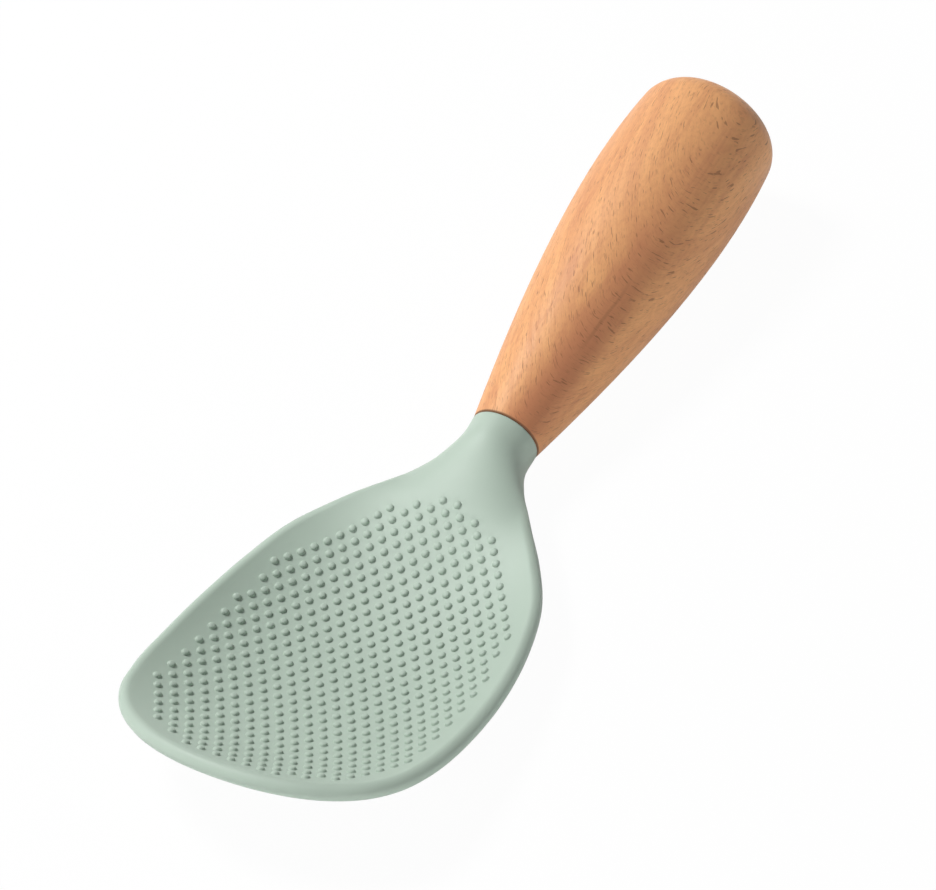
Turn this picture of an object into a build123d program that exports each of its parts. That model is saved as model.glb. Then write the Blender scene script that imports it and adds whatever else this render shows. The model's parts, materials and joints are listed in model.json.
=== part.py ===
from build123d import *
from math import atan2, cos, degrees, pi, sin
import os

# A rice paddle: a turned beech handle and a silicone scoop moulded over a nylon core.
# It is drawn along the handle: the seam is at y = 0, the butt points to +Y, the tip to -Y,
# the hollow of the scoop looks up, and the handle's axis is z = 0. Lengths are in mm.
# The last step lays it on the table, on its bowl and its butt.

# Scoop, from the seam to the tip and across
head_length = 113.2
head_half_width = 37.9
blade_thickness = 3.6
rim_bevel = 1.0
seam_radius = 7.9
seam_ease = 0.4

# Half of the scoop's outline, as shares of head_half_width and head_length
neck_outline_shares = ((0.208, 0.070), (0.325, 0.128), (0.562, 0.218), (0.823, 0.344))
blade_outline_shares = (
    (0.823, 0.344),
    (0.946, 0.472),
    (1.000, 0.640),
    (0.976, 0.786),
    (0.865, 0.888),
    (0.620, 0.955),
    (0.000, 1.000),
)
shoulder_slope_shares = (0.72, -1)

# Hollow of the scoop: heights that pull the floor line at even steps, as shares of
# floor_rise, and the lift of the sides, a parabola part and a steeper outer part
floor_rise = 31.1
floor_shares = (0.053, 0.145, -0.479, 0.206, -0.0745, 1.0)
floor_start = 14.0
floor_end = 116.0
side_sweep = 5.1
side_lift = 8.4
side_reach = 42.0

# Neck, from the round seam to the flat blade: places as shares of head_length,
# half-widths, tops and undersides as shares of seam_radius
neck_place_shares = (0.0, 0.055, 0.125, 0.200, 0.270, 0.345, 0.415)
neck_width_shares = (1.0, 1.0, 1.40, 2.05, 2.40, 2.30, 1.90)
neck_top_shares = (1.0, 0.98, 0.70, 0.375, 0.150, -0.160, -0.330)
neck_under_shares = (-1.0, -0.965, -0.835, -0.735, -0.680, -0.655, -0.680)

# Nubs on the hollow side, staggered row by row inside their own outline,
# whose points are shares of field_length and field_half_width
nub_pitch = 3.6
nub_row_pitch = 2.4
nub_radius = 1.0
nub_height = 0.85
nub_sides = 6
nub_root = 0.15
field_start = 22.6
field_length = 84.0
field_half_width = 31.4
field_outline_shares = (
    (0.0, 0.080),
    (0.057, 0.425),
    (0.314, 0.937),
    (0.471, 0.990),
    (0.814, 1.000),
    (0.943, 0.718),
    (1.0, 0.380),
)

# Handle, turned from beech: its flank as shares of handle_length and handle_radius
handle_length = 98.5
handle_radius = 17.25
handle_flank_shares = ((0.265, 0.735), (0.530, 0.933), (0.790, 1.000), (1.0, 0.900))
butt_rounding = 7.2

# Nylon core inside the silicone: a plate in the blade and a boss in the neck
blade_skin = 1.1
neck_skin = 1.6
core_rim_inset = 5.0
core_boss_stations = 5
key_hole_radius = 3.5
key_hole_pitch = 22.0
key_hole_start = 44.0
key_hole_rows = 3
key_hole_columns = 2

# Steel tang, from the core into the handle, and the glue round it
tang_radius = 2.5
tang_in_core = 16.0
tang_in_handle = 46.0
tang_chamfer = 0.6
groove_depth = 0.4
groove_width = 2.4
groove_pitch = 14.0
groove_count = 2
glue_gap = 0.2
glue_pool = 1.5

# Space left over by cuts, above and below the part
cut_overrun = 60.0

# Height to which bowl and butt agree when the paddle lies on the table
rest_accuracy = 0.001

# Heights of a fourth-degree Bezier curve that is t*t, or t*t*t*t, from t = -1 to 1
square_net_shares = (1, 0, -1 / 3, 0, 1)
fourth_power_net_shares = (1, -1, 1, -1, 1)


def head_outline(inset):
    """The scoop's outline from above, drawn in by an inset at its sides and tip."""
    width = head_half_width - inset
    length = head_length - inset
    neck = [(across * width, -along * length) for across, along in neck_outline_shares]
    blade = [(across * width, -along * length) for across, along in blade_outline_shares]
    start = (min(seam_radius, width), 0)
    flare = Spline([start] + neck, tangents=((0, -1), shoulder_slope_shares))
    body = Spline(blade, tangents=(shoulder_slope_shares, (-1, 0)))
    middle = Line(blade[-1], (0, 0))
    seam = Line((0, 0), start)
    half = make_face(Curve() + [flare, body, middle, seam])
    return half + mirror(half, about=Plane.YZ)


def dish(depth):
    """The hollow's doubly curved face, lowered by a depth."""
    columns = len(square_net_shares)
    rows = len(floor_shares)
    net = []
    for column in range(columns):
        x = side_reach * (2 * column / (columns - 1) - 1)
        lift = side_sweep * square_net_shares[column] + side_lift * fourth_power_net_shares[column]
        line = []
        for row in range(rows):
            y = -floor_start - (floor_end - floor_start) * row / (rows - 1)
            line.append((x, y, floor_rise * floor_shares[row] + lift - depth))
        net.append(line)
    return Face.make_bezier_surface(net)


def blade_plate(inset, skin):
    """A plate that follows the hollow, inside the outline less the inset."""
    sheet = extrude(dish(skin), amount=blade_thickness - 2 * skin, dir=(0, 0, -1))
    column = extrude(Pos(0, 0, -cut_overrun) * head_outline(inset), amount=2 * cut_overrun)
    return sheet & column


def neck_loft(stations, skin):
    """The neck as a loft of upright ellipses, each drawn in by the skin."""
    sections = []
    for station in range(stations):
        y = -head_length * neck_place_shares[station]
        top = seam_radius * neck_top_shares[station] - skin
        under = seam_radius * neck_under_shares[station] + skin
        half_width = seam_radius * neck_width_shares[station] - skin
        plane = Plane(origin=(0, y, (top + under) / 2), x_dir=(1, 0, 0), z_dir=(0, -1, 0))
        sections.append(plane * Ellipse(half_width, (top - under) / 2))
    return loft(sections)


def head_blank():
    """The scoop's outer shape without its nubs."""
    plate = blade_plate(0, 0)
    rim = [edge for edge in plate.edges() if edge.length > head_length]
    plate = chamfer(rim, rim_bevel)
    neck = neck_loft(len(neck_place_shares), 0)
    seam_edge = neck.edges().group_by(Axis.Y)[-1]
    return plate + chamfer(seam_edge, seam_ease)


def field_half_width_at(share):
    """Half of the nub field's width, at a share of its length from the neck."""
    for near, far in zip(field_outline_shares, field_outline_shares[1:]):
        if share <= far[0]:
            part = (share - near[0]) / (far[0] - near[0])
            return field_half_width * (near[1] + part * (far[1] - near[1]))
    return field_half_width * field_outline_shares[-1][1]


def nub_places():
    """Points of the staggered field from above: even rows straddle the middle line."""
    places = []
    rows = round(field_length / nub_row_pitch) + 1
    for row in range(rows):
        along = min(row * nub_row_pitch / field_length, 1)
        count = int(2 * field_half_width_at(along) / nub_pitch) + 1
        count -= (count - row) % 2
        for column in range(count):
            x = (column - (count - 1) / 2) * nub_pitch
            places.append((x, -field_start - row * nub_row_pitch))
    return places


def nub():
    """One pointed nub with its root below z = 0."""
    spread = nub_radius * (nub_height + nub_root) / nub_height
    corners = [2 * pi * side / nub_sides for side in range(nub_sides)]
    ring = [(spread * cos(turn), spread * sin(turn), -nub_root) for turn in corners]
    tip = (0, 0, nub_height)
    faces = [Face(Wire.make_polygon(ring))]
    for near, far in zip(ring, ring[1:] + ring[:1]):
        faces.append(Face(Wire.make_polygon([near, far, tip])))
    return Solid(Shell(faces))


def nubs():
    """A nub at each place of the field, square to the hollow or to the neck's top."""
    shape = nub()
    hollow = dish(0)
    neck = neck_loft(len(neck_place_shares), 0)
    neck_end = -head_length * neck_place_shares[-1]
    copies = []
    for x, y in nub_places():
        line = Axis((x, y, 0), (0, 0, 1))
        hits = hollow.find_intersection_points(line)
        if y > neck_end:
            hits += neck.find_intersection_points(line)
        point, normal = max(hits, key=lambda hit: hit[0].Z)
        if normal.Z < 0:
            normal = -normal
        copies.append(Plane(origin=point, x_dir=(1, 0, 0), z_dir=normal).location * shape)
    return copies


def tang():
    """The steel rod with chamfered ends and glue grooves, along the handle's axis."""
    rod_length = tang_in_core + tang_in_handle
    plane = Plane(origin=(0, -tang_in_core, 0), z_dir=(0, 1, 0))
    rod = extrude(plane * Circle(tang_radius), amount=rod_length)
    ends = rod.edges().group_by(Axis.Y)
    rod = chamfer(ends[0] + ends[-1], tang_chamfer)
    for groove in range(groove_count):
        y = tang_in_handle - (groove + 1) * groove_pitch
        plane = Plane(origin=(0, y, 0), z_dir=(0, 1, 0))
        ring = plane * (Circle(tang_radius + glue_gap) - Circle(tang_radius - groove_depth))
        rod -= extrude(ring, amount=groove_width)
    return rod


def bore():
    """The blind hole in the handle, with room for glue round the tang and past its end."""
    plane = Plane(origin=(0, 0, 0), z_dir=(0, 1, 0))
    return extrude(plane * Circle(tang_radius + glue_gap), amount=tang_in_handle + glue_pool)


def key_holes():
    """Columns through the core plate, which the silicone fills to lock the skins together."""
    holes = []
    for row in range(key_hole_rows):
        y = -key_hole_start - row * key_hole_pitch
        for column in range(key_hole_columns):
            x = (column - (key_hole_columns - 1) / 2) * key_hole_pitch
            base = Pos(x, y, -cut_overrun)
            holes.append(extrude(base * Circle(key_hole_radius), amount=2 * cut_overrun))
    return holes


def core_body():
    """The nylon core with its holes, and no hole for the tang yet."""
    plate = blade_plate(core_rim_inset, blade_skin)
    for hole in key_holes():
        plate -= hole
    return plate + neck_loft(core_boss_stations, neck_skin)


def handle_blank():
    """The turned outside of the handle."""
    flank = [(seam_radius, 0)]
    for along, across in handle_flank_shares:
        flank.append((across * handle_radius, along * handle_length))
    end = Line(flank[-1], (0, handle_length))
    axis = Line((0, handle_length), (0, 0))
    seam = Line((0, 0), flank[0])
    profile = make_face(Curve() + [Spline(flank), end, axis, seam])
    body = revolve(profile, axis=Axis.Y)
    ends = body.edges().filter_by(GeomType.CIRCLE).group_by(Axis.Y)
    body = fillet(ends[-1], butt_rounding)
    ends = body.edges().filter_by(GeomType.CIRCLE).group_by(Axis.Y)
    return fillet(ends[0], seam_ease)


def resting_place(blank, handle):
    """The turn and shift that lay bowl and butt on z = 0, with the origin under the middle."""

    def step(turn):
        bowl = (Rot(turn, 0, 0) * blank).bounding_box().min.Z
        butt = (Rot(turn, 0, 0) * handle).bounding_box().min.Z
        return bowl - butt

    last_turn = 0.0
    last_step = step(last_turn)
    turn = degrees(atan2(last_step, head_length))
    while abs(last_step) > rest_accuracy:
        this_step = step(turn)
        slope = (this_step - last_step) / (turn - last_turn)
        last_turn = turn
        last_step = this_step
        turn -= this_step / slope
    turned = Rot(last_turn, 0, 0)
    box = (turned * Compound([blank, handle])).bounding_box()
    return Pos(0, -box.center().Y, -box.min.Z) * turned


def main():
    os.makedirs("parts", exist_ok=True)
    blank = head_blank()
    handle = handle_blank()
    rod = tang()
    core = core_body()
    glue = bore() - rod
    place = resting_place(blank, handle)
    nodes = {
        "beech_handle": handle - bore(),
        "silicone_head": blank.fuse(*nubs()) - core,
        "nylon_core": core - rod,
        "steel_tang": rod,
        "handle_glue": glue,
    }
    for name, shape in nodes.items():
        export_step(place * shape, f"parts/{name}.step")


if __name__ == "__main__":
    main()
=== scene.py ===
from bisect import bisect_right
from math import asin, comb, cos, pi, radians, sin, sqrt

import bmesh
import bpy
from mathutils import Matrix, Vector
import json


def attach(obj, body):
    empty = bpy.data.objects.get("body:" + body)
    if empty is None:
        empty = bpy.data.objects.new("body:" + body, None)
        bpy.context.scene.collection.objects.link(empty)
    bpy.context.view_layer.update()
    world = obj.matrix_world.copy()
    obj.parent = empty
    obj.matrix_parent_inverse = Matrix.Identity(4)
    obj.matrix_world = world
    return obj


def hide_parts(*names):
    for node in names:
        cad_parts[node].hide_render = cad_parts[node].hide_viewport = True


bl_info = {
    "name": "Rice Paddle",
    "version": (1, 0, 0),
    "blender": (4, 5, 0),
    "location": "View3D > Sidebar > Rice Paddle",
    "description": "Dresses a silicone rice paddle with a turned beech handle",
    "category": "Object",
}

MM = 0.001

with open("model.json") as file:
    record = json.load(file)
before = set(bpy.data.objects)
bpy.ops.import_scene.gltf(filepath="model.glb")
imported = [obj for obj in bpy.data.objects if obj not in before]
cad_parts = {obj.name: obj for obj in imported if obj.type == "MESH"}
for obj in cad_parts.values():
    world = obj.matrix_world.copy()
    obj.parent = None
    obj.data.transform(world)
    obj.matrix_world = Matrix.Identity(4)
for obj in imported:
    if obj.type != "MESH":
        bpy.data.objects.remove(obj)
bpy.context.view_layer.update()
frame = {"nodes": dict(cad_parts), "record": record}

# The paddle is drawn along its handle, in millimetres: the seam is at y = 0, the tip points
# to -Y and the handle's axis is z = 0. PLACE lays it on the table, on its bowl and its butt.
HANDLE_LENGTH = 98.5
BUTT = next(mount for mount in frame["record"]["mounts"] if mount["name"] == "butt_flat")
AXIS_Y, AXIS_Z = BUTT["axis"][1], BUTT["axis"][2]
TURN = Matrix(((1, 0, 0), (0, AXIS_Y, -AXIS_Z), (0, AXIS_Z, AXIS_Y)))
SHIFT = Vector(BUTT["pos_m"]) - TURN @ Vector((0, HANDLE_LENGTH * MM, 0))
PLACE = Matrix.Translation(SHIFT) @ TURN.to_4x4() @ Matrix.Scale(MM, 4)

# Outline of the scoop: half-width and distance from the seam
SEAM_RADIUS = 7.9
OUTLINE = (
    (SEAM_RADIUS, 0.0),
    (8.0, 5.5),
    (10.6, 11.0),
    (14.5, 15.9),
    (17.9, 20.6),
    (24.4, 29.1),
    (30.6, 39.3),
    (34.1, 50.5),
    (36.1, 62.0),
    (36.85, 76.0),
    (35.7, 90.0),
    (33.9, 96.0),
    (30.3, 101.2),
    (22.0, 106.8),
    (11.6, 110.0),
    (0.0, 111.0),
)

# Hollow: heights that pull its middle line, a Bezier curve, and the lift of its sides. SWEEP
# goes with the square of the way across and LIFT with its fourth power, and each is given as
# its value halfway along and its growth from neck to tip.
HOLLOW_NET = (-0.114, 6.259, -14.675, 6.782, -2.404, 31.54)
HOLLOW_START = 14.0
HOLLOW_END = 116.0
SIDE_SWEEP = (5.75, 5.21)
SIDE_LIFT = (7.59, -8.65)
SIDE_REACH = 42.0

# Neck: distance from the seam, half-width, top, height of its upper shoulders, underside
NECK = (
    (0.0, SEAM_RADIUS, SEAM_RADIUS, 0.0, -SEAM_RADIUS),
    (6.2, 7.90, 7.70, -0.4, -8.50),
    (14.2, 13.6, 5.65, 0.1, -7.80),
    (22.6, 20.2, 3.50, 0.0, -6.40),
    (30.6, 24.0, 0.20, -2.2, -5.55),
    (39.1, 25.0, -1.35, -3.3, -5.75),
    (47.0, 25.0, -3.00, -4.3, -5.65),
)

NECK_END = NECK[-1][0]

# The outline's first points again, as distance from the seam and half-width
NECK_OUTLINE = [(along, across) for across, along in OUTLINE[:6]]

# Distances from the seam, each a start and an end, over which the form changes: the plate
# comes out of the neck, the neck leaves the outline's width, its ellipse turns into a swell
# with soft flanks, and its top starts and stops flowing into the plate
PLATE_GROWTH = (5, 20)
NECK_FLARE = (12, 22)
NECK_FLATTENING = (8, 22)
BLEND_START = (12, 30)
BLEND_STOP = (30, 44)
FLANK_FALL = 8  # how steeply the swell goes down past its half-width
UNDER_NARROWING = 0.15  # how much narrower the swell is below the plate
NECK_FADE = 6  # reach of the swell past the neck's end
NECK_SINK = 0.6  # how fast the swell sinks there

BELLY = 0.42  # extra thickness under the middle of the sheet, where it rests
BELLY_RISE = 0.7  # share of the way from rim to middle over which it grows

# Nub field: rows from the seam to the tip, half-widths along its length
FIELD_START = 22.6
FIELD_LENGTH = 84.0
FIELD_HALF_WIDTH = 31.4
FIELD_OUTLINE = (
    (0.0, 0.080),
    (0.057, 0.425),
    (0.314, 0.937),
    (0.471, 0.990),
    (0.814, 1.000),
    (0.943, 0.718),
    (1.0, 0.380),
)
NUB_PITCH = 3.6
NUB_ROW_PITCH = 2.4
NUB_SKIRT = 1.15  # radius of the skirt at a nub's foot, against the nub's own
NUB_ROOT = 0.05  # depth of the skirt's edge in the sheet
NUB_LEANS = (4, 26, 47, 64, 78, 90)  # degrees up the dome at which its outline has a point
NUB_FULLNESS = 0.6  # below 1 the dome has fuller shoulders than a sphere
NUB_SEGMENTS = 12

# Mesh of the head: a lip rounds the edge at the seam. The rows from the rim end on the middle
# line, straight across from the rim up to MIDDLE_START and then closer together, so that the
# row from the tip ends at MIDDLE_END.
SEAM_LIP = 0.4
LIP_SHARES = (0, 0.08, 0.25, 0.5, 0.75, 1)
OUTLINE_SEGMENTS = 294
WALL_SEGMENTS = 9
SHEET_SEGMENTS = 26
SHEET_EASE = 0.35  # width of a row right beside the rim, against that of an even row
MIDDLE_START = 12
MIDDLE_END = 72
THINNEST_RIM = 0.02  # share of the rim's radius that is left at the seam
MIRROR_MERGE = 0.02
POINT_MERGE = 0.004
SLOPE_STEP = 0.05  # distance over which slopes are measured

# Plank that the handle is turned from: which way its face looks, and the slope of its layers
PLANK_TURN = 46
PLANK_SLOPE = 0.2

# Stage: lamps as name, place, side and power in metres and watts, all aimed at the origin
LAMPS = (
    ("key_lamp", (-0.69, 0.08, 1.04), 0.34, 13.9),
    ("fill_lamp", (-0.80, -0.80, 0.10), 0.5, 3.6),
    ("side_lamp", (0.66, -0.98, 0.05), 0.4, 7.0),
)
WHITE = (1, 1, 1)
FLOOR_COLOUR = (0.93, 0.93, 0.93)
FLOOR_REACH = 6
FLOOR_SEEN = 0.97  # share of plain white in the floor as the camera sees it
FLOOR_MIRRORED = 0.5  # the same in what reflections and see-through pieces show
SKY_COLOUR = (0.14, 0.143, 0.146)

# Camera in the drawing: where it stands, a small sideways correction, and its directions
CAMERA_LENS = 199.1
CAMERA_SENSOR = 36
CAMERA_CLIP = (0.05, 20)
CAMERA_PLACE = (495.4, -547.8, 822.5)
CAMERA_LIFT = 0.09
CAMERA_SLIDE = -0.16
CAMERA_RIGHT = (0.851, 0.485, -0.199)
CAMERA_FORWARD = (-0.454, 0.491, -0.744)


def table(points, x):
    """A smooth line through (x, value) points."""
    xs = [point[0] for point in points]
    index = min(max(bisect_right(xs, x) - 1, 0), len(xs) - 2)

    def rise(low):
        return (points[low + 1][1] - points[low][1]) / (xs[low + 1] - xs[low])

    def slope(at):
        if at == 0 or at == len(xs) - 1:
            return rise(max(at - 1, 0))
        before, after = xs[at] - xs[at - 1], xs[at + 1] - xs[at]
        return (rise(at - 1) * after + rise(at) * before) / (before + after)

    step = xs[index + 1] - xs[index]
    t = (x - xs[index]) / step
    a, b = points[index][1], points[index + 1][1]
    m, n = slope(index) * step, slope(index + 1) * step
    return (
        a * (2 * t**3 - 3 * t**2 + 1)
        + m * (t**3 - 2 * t**2 + t)
        + b * (3 * t**2 - 2 * t**3)
        + n * (t**3 - t**2)
    )


def smooth_step(low, high, x):
    """Goes softly from 0 at low to 1 at high."""
    t = min(max((x - low) / (high - low), 0), 1)
    return t * t * (3 - 2 * t)


def smooth_max(a, b, blend):
    """The greater of two heights, rounded where they meet."""
    return (a + b + sqrt((a - b) ** 2 + blend**2)) / 2


def outline_tables():
    """The outline's half-width and place, each against the distance along it."""
    lengths = [0.0]
    for near, far in zip(OUTLINE, OUTLINE[1:]):
        lengths.append(lengths[-1] + sqrt((far[0] - near[0]) ** 2 + (far[1] - near[1]) ** 2))
    wide = [(at, point[0]) for at, point in zip(lengths, OUTLINE)]
    along = [(at, point[1]) for at, point in zip(lengths, OUTLINE)]
    # past the tip the outline goes on as its own mirror, so that it crosses the middle squarely
    last, before = lengths[-1], lengths[-2]
    wide.append((2 * last - before, -OUTLINE[-2][0]))
    along.append((2 * last - before, OUTLINE[-2][1]))
    return wide, along, last


WIDE, ALONG, OUTLINE_SPAN = outline_tables()


def outline_point(s):
    """A point of the outline, as half-width and distance from the seam."""
    return Vector((table(WIDE, s), table(ALONG, s)))


def outline_normal(s):
    """The direction into the scoop, square to the outline."""
    low, high = max(s - SLOPE_STEP, 0), min(s + SLOPE_STEP, OUTLINE_SPAN + SLOPE_STEP)
    run = outline_point(high) - outline_point(low)
    return Vector((-run.y, run.x)).normalized()


def dish_height(x, along):
    """The hollow's surface at a place from above."""
    t = (along - HOLLOW_START) / (HOLLOW_END - HOLLOW_START)
    last = len(HOLLOW_NET) - 1
    height = sum(
        comb(last, power) * t**power * (1 - t) ** (last - power) * pull
        for power, pull in enumerate(HOLLOW_NET)
    )
    across = (x / SIDE_REACH) ** 2
    height += (SIDE_SWEEP[0] + SIDE_SWEEP[1] * (t - 0.5)) * across
    return height + (SIDE_LIFT[0] + SIDE_LIFT[1] * (t - 0.5)) * across**2


def neck_section(along):
    """The neck's half-width, top, shoulders and underside at a distance from the seam."""
    half_width, top, shoulder, under = (
        table([(row[0], row[column]) for row in NECK], along) for column in (1, 2, 3, 4)
    )
    flare = smooth_step(*NECK_FLARE, along)
    if flare < 1:
        half_width = flare * half_width + (1 - flare) * table(NECK_OUTLINE, along)
    return half_width, top, shoulder, under


def plate_share(along):
    """How far the blade's plate has come out of the neck, from 0 to 1."""
    return smooth_step(*PLATE_GROWTH, along)


def plate_top(x, along, half_thickness):
    """The plate's upper face, which sinks into the neck towards the seam."""
    share = plate_share(along)
    if share == 1:
        return dish_height(x, along)
    _, top, _, under = neck_section(max(along, 0))
    middle = (top + under) / 2 + half_thickness * share
    return middle + share * (dish_height(x, along) - middle)


def plate_frame(x, along, half_thickness):
    """A point of the plate's upper face and the direction square to it."""
    here = plate_top(x, along, half_thickness)
    rise = (plate_top(x + SLOPE_STEP, along, half_thickness) - here) / SLOPE_STEP
    run = (plate_top(x, along + SLOPE_STEP, half_thickness) - here) / SLOPE_STEP
    return Vector((x, -along, here)), Vector((-rise, run, 1)).normalized()


def swollen(point, upper, blend):
    """Moves a point of the plate's upper or lower face out to the neck's skin."""
    along = -point.y
    if along >= NECK_END + NECK_FADE:
        return point
    half_width, top, shoulder, under = neck_section(min(max(along, 0), NECK_END))
    if not upper:
        half_width *= 1 - UNDER_NARROWING * smooth_step(*NECK_FLARE, along)
        shoulder = (top + under) / 2
    inside = 1 - (point.x / half_width) ** 2
    # 0.5 draws an ellipse, and 1 a swell with soft flanks
    fullness = 0.5 + 0.5 * smooth_step(*NECK_FLATTENING, along)
    swell = inside**fullness if inside > 0 else FLANK_FALL * inside
    drop = max(along - NECK_END, 0) * NECK_SINK
    blend *= smooth_step(*BLEND_START, along) * (1 - smooth_step(*BLEND_STOP, along))
    if upper:
        height = smooth_max(shoulder + (top - shoulder) * swell - drop, point.z, blend)
    else:
        height = -smooth_max((shoulder - under) * swell - shoulder - drop, -point.z, blend)
    return Vector((point.x, point.y, height))


def nub_places():
    """Places of the staggered nubs from above: even rows straddle the middle line."""
    places = []
    rows = round(FIELD_LENGTH / NUB_ROW_PITCH) + 1
    for row in range(rows):
        share = min(row * NUB_ROW_PITCH / FIELD_LENGTH, 1)
        for near, far in zip(FIELD_OUTLINE, FIELD_OUTLINE[1:]):
            if share <= far[0]:
                part = (share - near[0]) / (far[0] - near[0])
                half = FIELD_HALF_WIDTH * (near[1] + part * (far[1] - near[1]))
                break
        count = int(2 * half / NUB_PITCH) + 1
        count -= (count - row) % 2
        for column in range(count):
            x = (column - (count - 1) / 2) * NUB_PITCH
            places.append((x, FIELD_START + row * NUB_ROW_PITCH))
    return places


class Socket:
    """A shader socket with Python's arithmetic, which adds Math nodes."""

    def __init__(self, material, socket):
        self.material = material
        self.socket = socket

    def math(self, operation, *others):
        return self.material.node(
            "ShaderNodeMath", {"operation": operation}, (self,) + others
        )

    def __add__(self, other):
        return self.math("ADD", other)

    __radd__ = __add__

    def __sub__(self, other):
        return self.math("SUBTRACT", other)

    def __rsub__(self, other):
        return self.material.node("ShaderNodeMath", {"operation": "SUBTRACT"}, (other, self))

    def __mul__(self, other):
        return self.math("MULTIPLY", other)

    __rmul__ = __mul__


class Shader:
    """The nodes of a material or of the world, which all come from one method."""

    def __init__(self, data, output="ShaderNodeOutputMaterial"):
        self.data = data
        self.data.use_nodes = True
        self.tree = self.data.node_tree
        self.tree.nodes.clear()
        self.output = self.tree.nodes.new(output)

    def node(self, kind, settings=None, inputs=(), output=0):
        node = self.tree.nodes.new(kind)
        for key, value in (settings or {}).items():
            setattr(node, key, value)
        pairs = inputs.items() if isinstance(inputs, dict) else enumerate(inputs)
        for key, value in pairs:
            if isinstance(value, Socket):
                self.tree.links.new(value.socket, node.inputs[key])
            else:
                node.inputs[key].default_value = value
        return Socket(self, node.outputs[output])

    def show(self, surface):
        self.tree.links.new(surface.socket, self.output.inputs["Surface"])
        return self.data

    def rays(self, kind):
        return self.node("ShaderNodeLightPath", output=f"Is {kind} Ray")

    def place(self):
        return self.node("ShaderNodeTexCoord", output="Object")

    def mapped(self, vector, **inputs):
        return self.node("ShaderNodeMapping", None, {"Vector": vector, **inputs})

    def noise(self, vector, scale, detail=2, roughness=0.5):
        return self.node(
            "ShaderNodeTexNoise",
            {"noise_dimensions": "3D"},
            {"Vector": vector, "Scale": scale, "Detail": detail, "Roughness": roughness},
        )

    def vector(self, x, y, z):
        return self.node("ShaderNodeCombineXYZ", None, (x, y, z))

    def absolute(self, value):
        return value.math("ABSOLUTE")

    def limits(self, value, low, high, to_low=0.0, to_high=1.0):
        return self.node(
            "ShaderNodeMapRange",
            {"interpolation_type": "SMOOTHSTEP", "clamp": True},
            {
                "Value": value,
                "From Min": low,
                "From Max": high,
                "To Min": to_low,
                "To Max": to_high,
            },
        )

    def mix(self, factor, first, second):
        first = first if isinstance(first, Socket) else (*first, 1)
        second = second if isinstance(second, Socket) else (*second, 1)
        return self.node(
            "ShaderNodeMix", {"data_type": "RGBA"}, {0: factor, 6: first, 7: second}, output=2
        )

    def bump(self, height, distance, strength):
        inputs = {"Height": height, "Distance": distance, "Strength": strength}
        return self.node("ShaderNodeBump", None, inputs)

    def shade(self, **inputs):
        named = {key.replace("_", " "): value for key, value in inputs.items()}
        return self.show(self.node("ShaderNodeBsdfPrincipled", None, named))


def silicone(settings):
    """Satin silicone, with faint clouds in its colour and a fine moulded skin."""
    material = Shader(bpy.data.materials.new("sage_silicone"))
    place = material.place()
    cloud = material.limits(material.noise(place, 45), 0.3, 0.7)
    shaded = tuple(channel * 0.97 for channel in settings.silicone)
    tone = material.mix(cloud, shaded, settings.silicone)
    fine = material.noise(place, 2600)
    broad = material.noise(place, 160)
    roughness = settings.silicone_roughness
    return material.shade(
        Base_Color=tone,
        Roughness=material.limits(fine, 0.2, 0.8, roughness - 0.04, roughness + 0.06),
        Specular_IOR_Level=0.38,
        Sheen_Weight=0.16,
        Sheen_Roughness=0.45,
        Subsurface_Weight=0.12,
        Subsurface_Radius=(0.9, 1.0, 0.9),
        Subsurface_Scale=0.0012,
        Normal=material.bump(fine * 0.6 + broad * 0.4, 0.00004, 0.5),
    )


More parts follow.
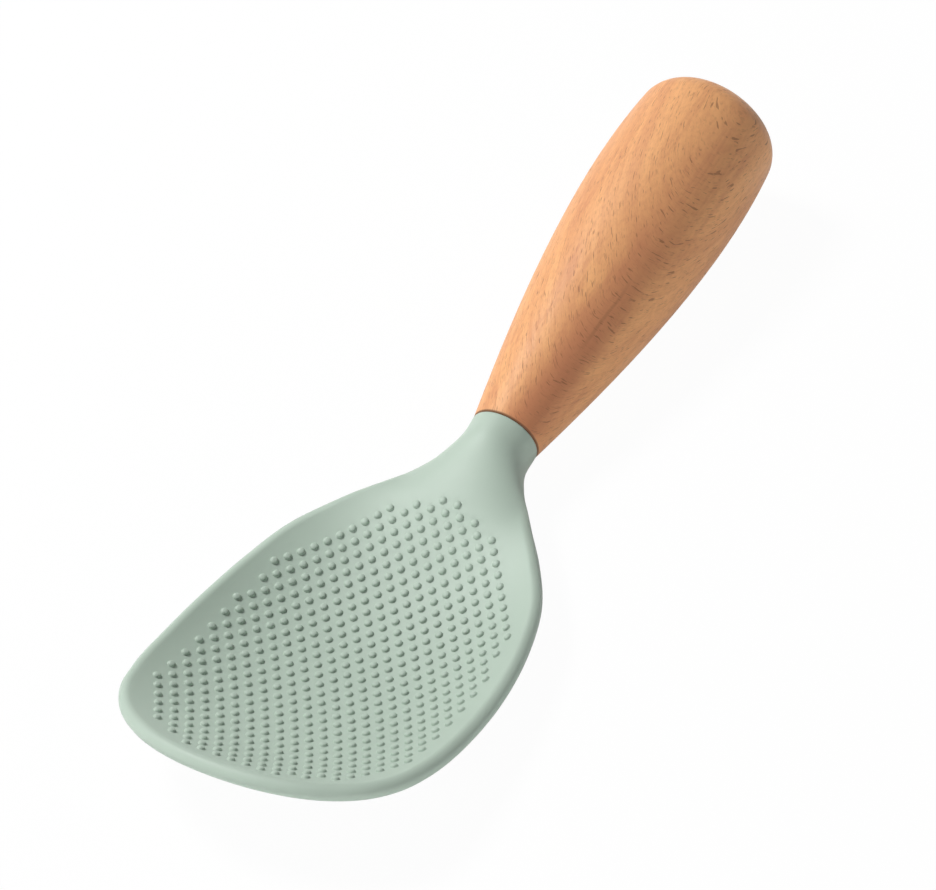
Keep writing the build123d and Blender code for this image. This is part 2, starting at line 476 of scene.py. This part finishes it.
def beech(settings):
    """Oiled beech, whose layers, rays and pores lie in the plank that the handle came from."""
    material = Shader(bpy.data.materials.new("beech"))
    # along the handle's axis, then turned so that the plank's face looks along +Z
    turned = material.mapped(
        material.place(),
        Location=-(TURN.transposed() @ SHIFT),
        Rotation=(-asin(AXIS_Z), 0, 0),
    )
    plank = material.mapped(turned, Rotation=(0, -radians(PLANK_TURN), 0))
    x, y, z = (
        material.node("ShaderNodeSeparateXYZ", None, (plank,), output=axis) for axis in "XYZ"
    )
    sway = material.noise(material.mapped(plank, Scale=(60, 22, 60)), 1)
    layer = z + y * PLANK_SLOPE + sway * 0.004

    def grain(across, along, aside, detail, roughness=0.5):
        place = material.vector(layer * across, y * along, x * aside)
        return material.noise(place, 1, detail, roughness)

    bands = grain(300, 7, 20, 3, 0.6)
    fibre = grain(3600, 40, 160, 2, 0.6)
    streak = material.noise(material.vector(x * 330, y * 5, z * 330), 1, 3, 0.7)
    rays = material.limits(grain(6600, 350, 360, 1), 0.64, 0.70)
    pores = material.limits(grain(9500, 800, 700, 1), 0.56, 0.72)
    mottle = material.noise(material.mapped(plank, Scale=(1300, 600, 1300)), 1)
    cloud = material.noise(material.mapped(plank, Scale=(70, 25, 70)), 1)
    # the heart is a dark band that fades towards the butt
    heart = 1 - material.limits(material.absolute(x + (cloud - 0.5) * 0.010), 0.0010, 0.0085)
    heart = heart * material.limits(y, 0.090, 0.012, 0.28, 1.0)
    tone = material.mix(heart * 0.84, settings.beech_light, settings.beech_dark)
    tone = material.mix(material.limits(bands, 0.40, 0.66) * 0.30, tone, settings.beech_dark)
    tone = material.mix(material.limits(streak, 0.48, 0.70) * 0.38, tone, settings.beech_dark)
    tone = material.mix(material.limits(fibre, 0.35, 0.75) * 0.22, tone, settings.beech_dark)
    tone = material.mix(material.limits(mottle, 0.4, 0.75) * 0.22, tone, settings.beech_dark)
    # the spine is a short dark line in it
    spine = 1 - material.limits(material.absolute(x + (cloud - 0.5) * 0.007), 0.0001, 0.0006)
    spine = spine * material.limits(y, 0.044, 0.034) * material.limits(y, 0.018, 0.028)
    tone = material.mix(spine * 0.28, tone, settings.beech_ray)
    tone = material.mix(pores * 0.2, tone, settings.beech_ray)
    tone = material.mix(rays * 0.62, tone, settings.beech_ray)
    # painted shade: a dark edge at the head, where the wood meets the silicone, stands for the
    # shadow in the groove between the two parts
    seam_shade = material.limits(y, 0.0002, 0.0006, 1.0, 0.0)
    tone = material.mix(seam_shade * 0.8, tone, (0.10, 0.045, 0.02))
    relief = fibre * 0.6 - rays * 0.9
    return material.shade(
        Base_Color=tone,
        Roughness=material.limits(fibre, 0.3, 0.7, 0.46, 0.58),
        Specular_IOR_Level=0.3,
        Sheen_Weight=0.12,
        Sheen_Roughness=0.4,
        Normal=material.bump(relief, 0.00005, 0.6),
    )


def plain(name, colour, roughness, metallic=0.0, scale=400.0):
    """A finish for a hidden piece, with a fine speck in its colour and its gloss."""
    material = Shader(bpy.data.materials.new(name))
    speck = material.noise(material.place(), scale)
    shaded = tuple(channel * 0.9 for channel in colour)
    tone = material.mix(material.limits(speck, 0.3, 0.7), shaded, colour)
    return material.shade(
        Base_Color=tone,
        Roughness=material.limits(speck, 0.3, 0.7, roughness - 0.05, roughness + 0.05),
        Metallic=metallic,
        Normal=material.bump(speck, 0.00003, 0.4),
    )


def finished(name, mesh, material):
    """A smooth piece of the paddle from a mesh in the drawing's millimetres."""
    mesh.transform(PLACE)
    data = bpy.data.meshes.new(name)
    mesh.to_mesh(data)
    mesh.free()
    data.polygons.foreach_set("use_smooth", [True] * len(data.polygons))
    data.materials.append(material)
    piece = bpy.data.objects.new(name, data)
    bpy.context.scene.collection.objects.link(piece)
    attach(piece, "root")
    return piece


class PaddleSettings(bpy.types.PropertyGroup):
    silicone: bpy.props.FloatVectorProperty(
        name="Silicone",
        description="Colour of the moulded silicone",
        default=(0.464, 0.566, 0.480),
        size=3,
        subtype="COLOR",
        min=0,
        max=1,
    )
    silicone_roughness: bpy.props.FloatProperty(
        name="Silicone roughness",
        description="How matt the silicone is",
        default=0.52,
        min=0.1,
        max=0.9,
        subtype="FACTOR",
    )
    half_thickness: bpy.props.FloatProperty(
        name="Rim radius",
        description="Radius of the rounded rim, half of the scoop's thickness, in millimetres",
        default=1.8,
        min=0.5,
        max=3,
    )
    neck_blend: bpy.props.FloatProperty(
        name="Neck blend",
        description="How softly the neck runs into the blade, in millimetres",
        default=2.5,
        min=0.1,
        max=8,
    )
    nub_radius: bpy.props.FloatProperty(
        name="Nub radius",
        description="Radius of each nub at the surface, in millimetres",
        default=0.90,
        min=0.3,
        max=1.6,
    )
    nub_height: bpy.props.FloatProperty(
        name="Nub height",
        description="Height of each nub, in millimetres",
        default=0.62,
        min=0.2,
        max=1.5,
    )
    beech_light: bpy.props.FloatVectorProperty(
        name="Light beech",
        description="Colour of the early wood",
        default=(0.89, 0.452, 0.192),
        size=3,
        subtype="COLOR",
        min=0,
        max=1,
    )
    beech_dark: bpy.props.FloatVectorProperty(
        name="Dark beech",
        description="Colour of the late wood and the grain",
        default=(0.57, 0.220, 0.11),
        size=3,
        subtype="COLOR",
        min=0,
        max=1,
    )
    beech_ray: bpy.props.FloatVectorProperty(
        name="Beech rays",
        description="Colour of the short dark rays",
        default=(0.27, 0.11, 0.05),
        size=3,
        subtype="COLOR",
        min=0,
        max=1,
    )


class OBJECT_OT_paddle_head(bpy.types.Operator):
    """Builds the silicone scoop and its neck as one smooth skin"""

    bl_idname = "object.paddle_head"
    bl_label = "Silicone head"

    def execute(self, context):
        settings = context.scene.rice_paddle
        mesh = bmesh.new()
        half_rows = WALL_SEGMENTS + SHEET_SEGMENTS
        spans = [share * SEAM_LIP for share in LIP_SHARES]
        step = (OUTLINE_SPAN - SEAM_LIP) / OUTLINE_SEGMENTS
        spans += [SEAM_LIP + step * (count + 1) for count in range(OUTLINE_SEGMENTS)]
        columns = len(spans) - 1
        # the grid runs along the outline, and across from the middle line over the rim and back
        bmesh.ops.create_grid(
            mesh, x_segments=columns, y_segments=2 * half_rows, size=0.5, matrix=Matrix.Identity(4)
        )
        tip = OUTLINE[-1][1]
        squeeze = (MIDDLE_END - MIDDLE_START) / (tip - MIDDLE_START)
        rim = []
        for column, s in enumerate(spans):
            edge, inward = outline_point(s), outline_normal(s)
            if column == columns:
                edge, inward = Vector((0, tip)), Vector((0, -1))
            if column == 0:
                edge, inward = Vector((SEAM_RADIUS, 0)), Vector((-1, 0))
            middle = min(edge.y, MIDDLE_START + (edge.y - MIDDLE_START) * squeeze)
            rim.append((edge, inward, Vector((0, middle))))
        for vert in mesh.verts:
            column = round((vert.co.x + 0.5) * columns)
            row = round((vert.co.y + 0.5) * 2 * half_rows) - half_rows
            vert.co = self.skin_point(rim[column], row, settings)
        mesh.verts.ensure_lookup_table()
        half = mesh.verts[:] + mesh.edges[:] + mesh.faces[:]
        bmesh.ops.mirror(mesh, geom=half, axis="X", merge_dist=MIRROR_MERGE)
        bmesh.ops.remove_doubles(mesh, verts=mesh.verts, dist=POINT_MERGE)
        ends = [edge for edge in mesh.edges if edge.is_boundary]
        bmesh.ops.holes_fill(mesh, edges=ends, sides=0)
        bmesh.ops.recalc_face_normals(mesh, faces=mesh.faces)
        piece = finished("silicone_scoop", mesh, silicone(settings))
        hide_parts("silicone_head")
        return {"FINISHED"}

    def skin_point(self, station, row, settings):
        """A point of the skin, counted from the rim: rows above it are on the upper face."""
        edge, inward, middle = station
        side = 1 if row >= 0 else -1
        step = abs(row)
        radius = settings.half_thickness * max(plate_share(edge.y), THINNEST_RIM)
        start = edge + inward * radius
        if step <= WALL_SEGMENTS:
            top, normal = plate_frame(start.x, start.y, radius)
            outward = Vector((-inward.x, inward.y, 0))
            outward = (outward - normal * outward.dot(normal)).normalized()
            lean = pi / 2 * step / WALL_SEGMENTS
            point = top - normal * radius
            point += (outward * cos(lean) + normal * side * sin(lean)) * radius
        else:
            share = (step - WALL_SEGMENTS) / SHEET_SEGMENTS
            eased = share * (SHEET_EASE + (1 - SHEET_EASE) * share)
            place = start + (middle - start) * eased
            point, normal = plate_frame(place.x, place.y, radius)
            if side < 0:
                point -= normal * (2 * radius + BELLY * smooth_step(0, BELLY_RISE, share))
            if step == WALL_SEGMENTS + SHEET_SEGMENTS:
                point.x = 0
        if row:
            point = swollen(point, side > 0, settings.neck_blend)
        lip = min(max(1 + point.y / SEAM_LIP, 0), 1)
        ease = 1 - SEAM_LIP * (1 - sqrt(1 - lip * lip)) / SEAM_RADIUS
        return Vector((point.x * ease, point.y, point.z * ease))


class OBJECT_OT_paddle_nubs(bpy.types.Operator):
    """Sets a round nub square to the hollow at each place of the staggered field"""

    bl_idname = "object.paddle_nubs"
    bl_label = "Nubs"

    def execute(self, context):
        settings = context.scene.rice_paddle
        radius, height = settings.nub_radius, settings.nub_height
        nub = self.nub(radius, height)
        mesh = bmesh.new()
        for x, along in nub_places():
            base = self.surface(x, along, settings)
            side = self.surface(x + SLOPE_STEP, along, settings) - base
            run = self.surface(x, along - SLOPE_STEP, settings) - base
            turn = side.cross(run).to_track_quat("Z", "Y").to_matrix().to_4x4()
            copy = nub.copy()
            copy.transform(Matrix.Translation(base) @ turn)
            mesh.from_mesh(copy)
            bpy.data.meshes.remove(copy)
        bpy.data.meshes.remove(nub)
        material = bpy.data.materials.get("sage_silicone") or silicone(settings)
        piece = finished("silicone_nubs", mesh, material)
        return {"FINISHED"}

    def surface(self, x, along, settings):
        top = plate_frame(x, along, settings.half_thickness)[0]
        return swollen(top, True, settings.neck_blend)

    def nub(self, radius, height):
        """One dome with a small skirt at its foot, turned from half of its outline."""
        mesh = bmesh.new()
        outline = [Vector((NUB_SKIRT * radius, 0, -NUB_ROOT))]
        for lean in NUB_LEANS:
            spread = radius * cos(radians(lean)) ** NUB_FULLNESS if lean < 90 else 0
            outline.append(Vector((spread, 0, height * sin(radians(lean)))))
        verts = [mesh.verts.new(point) for point in outline]
        edges = [mesh.edges.new(pair) for pair in zip(verts, verts[1:])]
        bmesh.ops.spin(
            mesh,
            geom=verts + edges,
            axis=(0, 0, 1),
            angle=2 * pi,
            steps=NUB_SEGMENTS,
            use_merge=True,
        )
        bmesh.ops.remove_doubles(mesh, verts=mesh.verts, dist=POINT_MERGE)
        bmesh.ops.recalc_face_normals(mesh, faces=mesh.faces)
        data = bpy.data.meshes.new("nub")
        mesh.to_mesh(data)
        mesh.free()
        return data


class OBJECT_OT_paddle_handle(bpy.types.Operator):
    """Finishes the turned handle in beech"""

    bl_idname = "object.paddle_handle"
    bl_label = "Beech handle"

    def execute(self, context):
        settings = context.scene.rice_paddle
        handle = frame["nodes"]["beech_handle"]
        handle.data.materials.clear()
        handle.data.materials.append(beech(settings))
        return {"FINISHED"}


class OBJECT_OT_paddle_inside(bpy.types.Operator):
    """Finishes the core, the tang and the glue, which lie inside"""

    bl_idname = "object.paddle_inside"
    bl_label = "Core, tang and glue"

    def execute(self, context):
        finishes = {
            "nylon_core": plain("moulded_nylon", (0.04, 0.05, 0.045), 0.55),
            "steel_tang": plain("drawn_steel", (0.55, 0.55, 0.54), 0.32, 1.0, 900.0),
            "handle_glue": plain("cured_epoxy", (0.62, 0.50, 0.25), 0.25),
        }
        for name, material in finishes.items():
            node = frame["nodes"][name]
            node.data.materials.clear()
            node.data.materials.append(material)
        return {"FINISHED"}


class SCENE_OT_paddle_stage(bpy.types.Operator):
    """Adds the floor, the white surroundings, the lamps and the camera"""

    bl_idname = "scene.paddle_stage"
    bl_label = "Stage"

    def execute(self, context):
        scene = context.scene
        scene.view_settings.view_transform = "Standard"
        self.floor(scene)
        self.surroundings(scene)
        for lamp in LAMPS:
            self.lamp(scene, *lamp)
        self.camera(scene)
        return {"FINISHED"}

    def floor(self, scene):
        mesh = bmesh.new()
        bmesh.ops.create_grid(mesh, x_segments=1, y_segments=1, size=FLOOR_REACH)
        data = bpy.data.meshes.new("floor")
        mesh.to_mesh(data)
        mesh.free()
        material = Shader(bpy.data.materials.new("pale_floor"))
        # it lights the paddle as a pale floor, but is shown as nearly plain white
        shown = material.rays("Glossy") + material.rays("Transmission")
        white = material.rays("Camera") * FLOOR_SEEN + shown * FLOOR_MIRRORED
        diffuse = material.node("ShaderNodeBsdfDiffuse", None, {"Color": (*FLOOR_COLOUR, 1)})
        glow = material.node("ShaderNodeEmission", None, {"Color": (*WHITE, 1), "Strength": 1.0})
        material.show(material.node("ShaderNodeMixShader", None, (white, diffuse, glow)))
        data.materials.append(material.data)
        floor = bpy.data.objects.new("floor", data)
        scene.collection.objects.link(floor)

    def surroundings(self, scene):
        world = Shader(bpy.data.worlds.new("white_studio"), "ShaderNodeOutputWorld")
        shown = world.rays("Camera") + world.rays("Glossy") + world.rays("Transmission")
        tone = world.mix(shown, SKY_COLOUR, WHITE)
        scene.world = world.show(world.node("ShaderNodeBackground", None, {"Color": tone}))

    def lamp(self, scene, name, place, size, power):
        data = bpy.data.lights.new(name, "AREA")
        data.shape = "SQUARE"
        data.size = size
        data.energy = power
        lamp = bpy.data.objects.new(name, data)
        lamp.location = place
        lamp.rotation_euler = (-Vector(place)).to_track_quat("-Z", "Y").to_euler()
        scene.collection.objects.link(lamp)

    def camera(self, scene):
        data = bpy.data.cameras.new("camera")
        data.sensor_width = CAMERA_SENSOR
        data.lens = CAMERA_LENS
        data.clip_start, data.clip_end = CAMERA_CLIP
        camera = bpy.data.objects.new("camera", data)
        right = Vector(CAMERA_RIGHT).normalized()
        forward = Vector(CAMERA_FORWARD)
        forward = (forward - right * forward.dot(right)).normalized()
        up = right.cross(forward)
        stand = Matrix((right, up, -forward)).transposed().to_4x4()
        place = Vector(CAMERA_PLACE) + up * CAMERA_LIFT + right * CAMERA_SLIDE
        stand.translation = place * MM
        camera.matrix_world = Matrix.Translation(SHIFT) @ TURN.to_4x4() @ stand
        scene.collection.objects.link(camera)
        scene.camera = camera


class VIEW3D_PT_rice_paddle(bpy.types.Panel):
    """Sizes, colours and steps of the paddle"""

    bl_label = "Rice Paddle"
    bl_idname = "VIEW3D_PT_rice_paddle"
    bl_space_type = "VIEW_3D"
    bl_region_type = "UI"
    bl_category = "Rice Paddle"

    def draw(self, context):
        settings = context.scene.rice_paddle
        for name in PaddleSettings.__annotations__:
            self.layout.prop(settings, name)
        for operator in OPERATORS:
            self.layout.operator(operator.bl_idname)


OPERATORS = (
    OBJECT_OT_paddle_head,
    OBJECT_OT_paddle_nubs,
    OBJECT_OT_paddle_handle,
    OBJECT_OT_paddle_inside,
    SCENE_OT_paddle_stage,
)
CLASSES = (PaddleSettings,) + OPERATORS + (VIEW3D_PT_rice_paddle,)


def register():
    for cls in CLASSES:
        bpy.utils.register_class(cls)
    bpy.types.Scene.rice_paddle = bpy.props.PointerProperty(type=PaddleSettings)


def unregister():
    del bpy.types.Scene.rice_paddle
    for cls in reversed(CLASSES):
        bpy.utils.unregister_class(cls)


def main():
    register()
    bpy.ops.object.paddle_head()
    bpy.ops.object.paddle_nubs()
    bpy.ops.object.paddle_handle()
    bpy.ops.object.paddle_inside()
    bpy.ops.scene.paddle_stage()


if __name__ == "__main__":
    main()
